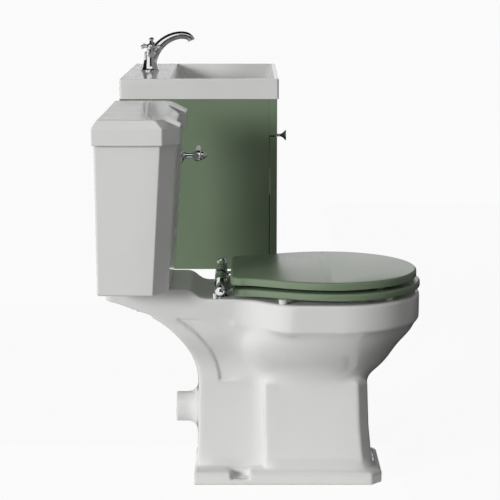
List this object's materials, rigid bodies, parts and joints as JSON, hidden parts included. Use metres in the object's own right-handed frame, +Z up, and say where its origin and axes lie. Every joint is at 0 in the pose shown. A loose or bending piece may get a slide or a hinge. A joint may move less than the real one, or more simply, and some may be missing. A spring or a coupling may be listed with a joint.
{
  "type": "toilet and vanity set",
  "caption": "Matched bathroom set: close-coupled toilet with hinged seat and lid, and a wall-hung vanity with basin, mixer tap and drawer on the same wall.",
  "frame": {"origin": "on the floor, midway between the pan's two floor fixing holes, on the pan's centre plane", "axes": "+Z up; -Y out from the wall, the way the toilet and the vanity face; +X from the toilet to the vanity along the wall"},
  "size_m": [1.317, 0.693, 0.945],
  "materials": {
    "black_rubber": "matte",
    "brass": "satin",
    "chrome": "polished",
    "clear_rubber": "matte",
    "glazed_white": "gloss",
    "green_paint": "satin paint",
    "grey_plastic": "satin",
    "pale_board": "satin",
    "porcelain_white": "gloss",
    "white_plastic": "satin",
    "zinc_steel": "satin"
  },
  "bodies": {
    "set": {"pan": "glazed_white", "cistern_tank": "glazed_white", "couple_washer": "black_rubber", "couple_bolts": "zinc_steel", "couple_seals": "black_rubber", "couple_wing_nuts": "white_plastic", "flush_valve_body": "white_plastic", "flush_valve_nut": "white_plastic", "fill_valve": "white_plastic", "fill_valve_nut": "white_plastic", "lever_rose": "chrome", "lever_locknut": "brass", "hinge_bar": "chrome", "hinge_end_caps": "chrome", "hinge_pillar_left": "chrome", "hinge_pillar_right": "chrome", "hinge_wing_nuts": "white_plastic", "cabinet_side_left": "green_paint", "cabinet_side_right": "green_paint", "cabinet_bottom": "green_paint", "cabinet_hanging_rail": "pale_board", "cabinet_low_rail": "pale_board", "cabinet_false_front": "green_paint", "runner_fixed_left": "zinc_steel", "runner_fixed_right": "zinc_steel", "basin": "glazed_white", "waste_body": "chrome", "waste_nut": "brass", "bottle_trap": "chrome", "trap_outlet": "chrome", "tap_body": "chrome", "tap_aerator": "grey_plastic", "tap_backnut": "brass"},
    "seat": {"seat_ring": "green_paint", "seat_hinge_plates": "chrome", "seat_buffers": "clear_rubber"},
    "seat_cover": {"seat_lid": "green_paint", "lid_hinge_plates": "chrome", "lid_buffers": "clear_rubber"},
    "flush_lever": {"lever_spindle": "chrome", "lever_handle": "porcelain_white", "lever_arm": "zinc_steel"},
    "flush_plunger": {"flush_plunger": "grey_plastic"},
    "fill_float": {"fill_float": "grey_plastic"},
    "cistern_lid": {"cistern_lid": "glazed_white"},
    "drawer": {"drawer_front": "green_paint", "drawer_side_left": "pale_board", "drawer_side_right": "pale_board", "drawer_back": "pale_board", "drawer_bottom": "pale_board", "runner_moving_left": "zinc_steel", "runner_moving_right": "zinc_steel", "drawer_knob": "chrome", "knob_screw": "zinc_steel"},
    "tap_handle_left": {"tap_handle_left": "chrome"},
    "tap_handle_right": {"tap_handle_right": "chrome"},
    "waste_plug": {"waste_plug": "chrome"}
  },
  "joints": [
    {"name": "seat_hinge", "type": "hinge", "parent": "set", "child": "seat", "pos_m": [0, 0.042, 0.446], "axis": [-1, 0, 0], "range_deg": [0, 91]},
    {"name": "seat_cover_hinge", "type": "hinge", "parent": "seat", "child": "seat_cover", "pos_m": [0, 0.042, 0.446], "axis": [1, 0, 0], "range_deg": [-91, 0]},
    {"name": "flush_lever_turn", "type": "hinge", "parent": "set", "child": "flush_lever", "pos_m": [0.15, 0.133, 0.693], "axis": [0, 1, 0], "range_deg": [0, 20], "stiffness_Nm_per_rad": 0.6},
    {"name": "flush_plunger_lift", "type": "slide", "parent": "set", "child": "flush_plunger", "axis": [0, 0, 1], "range_m": [0, 0.05]},
    {"name": "fill_float_rise", "type": "slide", "parent": "set", "child": "fill_float", "axis": [0, 0, 1], "range_m": [0, 0.06]},
    {"name": "cistern_lid_lift", "type": "slide", "parent": "set", "child": "cistern_lid", "axis": [0, 0, 1], "range_m": [0, 0.15]},
    {"name": "drawer_slide", "type": "slide", "parent": "set", "child": "drawer", "axis": [0, -1, 0], "range_m": [0, 0.28]},
    {"name": "tap_left_turn", "type": "hinge", "parent": "set", "child": "tap_handle_left", "pos_m": [0.7785, 0.237, 0.882], "axis": [-0.829, 0, 0.5592], "range_deg": [0, 90]},
    {"name": "tap_right_turn", "type": "hinge", "parent": "set", "child": "tap_handle_right", "pos_m": [0.7785, 0.237, 0.882], "axis": [0.829, 0, 0.5592], "range_deg": [-90, 0]},
    {"name": "waste_plug_lift", "type": "slide", "parent": "set", "child": "waste_plug", "axis": [0, 0, 1], "range_m": [0, 0.008]}
  ],
  "couplings": [
    {"joint": "flush_plunger_lift", "follows": "flush_lever_turn", "m_per_rad": 0.1374}
  ]
}
